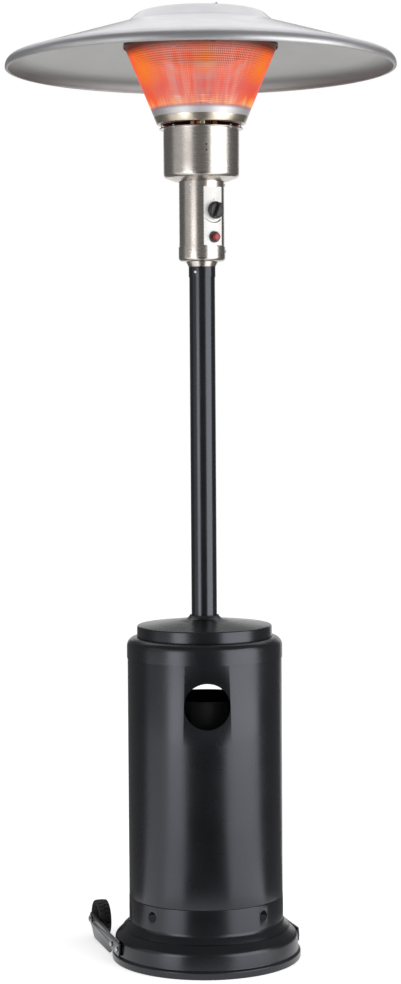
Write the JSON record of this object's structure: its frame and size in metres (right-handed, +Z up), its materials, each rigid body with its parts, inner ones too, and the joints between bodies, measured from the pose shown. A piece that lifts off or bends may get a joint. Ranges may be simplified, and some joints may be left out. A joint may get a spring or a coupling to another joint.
{
  "type": "gas patio heater",
  "caption": "Floor-standing gas patio heater with a round reflector, a glowing conical emitter on a black pole, a lift-up tank housing and a bell base with transport wheels.",
  "frame": {"origin": "centre of the base rim on the floor", "axes": "+Z up along the pole, front with the hand hole faces -Y"},
  "size_m": [0.86, 0.86, 2.1104],
  "materials": {
    "black_coat": "satin black powder coat",
    "pole_coat": "smooth satin black powder coat",
    "stainless": "brushed stainless steel",
    "hot_steel": "pale heat-tinted stainless steel",
    "glow_screen": "perforated stainless screen, glowing orange",
    "burner_steel": "plain mill-finish steel",
    "spun_aluminium": "satin spun aluminium",
    "zinc_steel": "zinc-plated steel fasteners",
    "cylinder_paint": "dark grey enamel",
    "cast_alloy": "die-cast alloy",
    "brass": "turned brass",
    "black_plastic": "moulded black plastic",
    "red_plastic": "moulded red plastic",
    "panel_white": "white enamelled plate",
    "ceramic": "white glazed ceramic",
    "hose_rubber": "black gas hose",
    "tyre_rubber": "solid black tyre"
  },
  "bodies": {
    "heater": {"base_skirt": "black_coat", "base_neck": "black_coat", "base_deck": "black_coat", "support_post_1": "black_coat", "support_post_2": "black_coat", "support_post_3": "black_coat", "support_post_4": "black_coat", "post_bolts": "zinc_steel", "pole_flange": "black_coat", "pole": "pole_coat", "pole_screws": "zinc_steel", "gas_cylinder": "cylinder_paint", "cylinder_collar": "cylinder_paint", "cylinder_valve": "brass", "coupling_nut": "black_plastic", "regulator": "cast_alloy", "gas_hose": "hose_rubber", "pole_sleeve": "pole_coat", "pole_ferrule": "stainless", "head_base": "stainless", "head_screws": "zinc_steel", "valve_housing": "stainless", "control_panel": "panel_white", "gas_valve": "cast_alloy", "igniter_body": "black_plastic", "igniter_bezel": "black_plastic", "tilt_switch": "zinc_steel", "main_burner": "burner_steel", "burner_deck": "burner_steel", "pilot_burner": "brass", "thermocouple": "brass", "spark_electrode": "ceramic", "burner_cup": "stainless", "emitter_base": "hot_steel", "emitter_screen": "glow_screen", "emitter_top": "hot_steel", "stud_bolts": "zinc_steel", "stud_spacers": "zinc_steel", "reflector": "spun_aluminium", "stud_washers": "zinc_steel", "wing_nuts": "zinc_steel", "wheel_arm_left": "black_coat", "wheel_arm_right": "black_coat", "wheel_axle": "zinc_steel", "axle_collars": "zinc_steel", "axle_caps": "zinc_steel", "arm_bolts": "zinc_steel"},
    "tank_cover": {"tank_housing": "black_coat", "housing_back": "black_coat", "housing_lid": "black_coat", "lid_bush": "black_plastic"},
    "cylinder_tap": {"valve_handwheel": "black_plastic"},
    "knob_push": {"valve_plunger": "brass"},
    "knob_turn": {"valve_stem": "brass", "control_knob": "black_plastic"},
    "igniter_push": {"igniter_button": "red_plastic"},
    "left_wheel": {"wheel_left": "black_plastic", "tyre_left": "tyre_rubber"},
    "right_wheel": {"wheel_right": "black_plastic", "tyre_right": "tyre_rubber"}
  },
  "joints": [
    {"name": "cover_lift", "type": "slide", "parent": "heater", "child": "tank_cover", "axis": [0, 0, 1], "range_m": [0, 0.735]},
    {"name": "cylinder_tap_turn", "type": "hinge", "parent": "heater", "child": "cylinder_tap", "pos_m": [0, 0, 0.54], "axis": [0, 0, 1], "range_deg": [-360, 0]},
    {"name": "knob_press", "type": "slide", "parent": "heater", "child": "knob_push", "axis": [-0.5, 0.866, 0], "range_m": [0, 0.004], "stiffness_N_per_m": 900, "springref_m": -0.002},
    {"name": "knob_rotate", "type": "hinge", "parent": "knob_push", "child": "knob_turn", "pos_m": [0.03, -0.05196, 1.662], "axis": [0.5, -0.866, 0], "range_deg": [0, 180]},
    {"name": "igniter_press", "type": "slide", "parent": "heater", "child": "igniter_push", "axis": [-0.5, 0.866, 0], "range_m": [0, 0.006], "stiffness_N_per_m": 700, "springref_m": -0.002},
    {"name": "left_wheel_spin", "type": "hinge", "parent": "heater", "child": "left_wheel", "pos_m": [-0.23818, 0.16601, 0.046], "axis": [0.9659, 0.2588, 0], "continuous": true},
    {"name": "right_wheel_spin", "type": "hinge", "parent": "heater", "child": "right_wheel", "pos_m": [0.12327, 0.26286, 0.046], "axis": [0.9659, 0.2588, 0], "continuous": true}
  ]
}
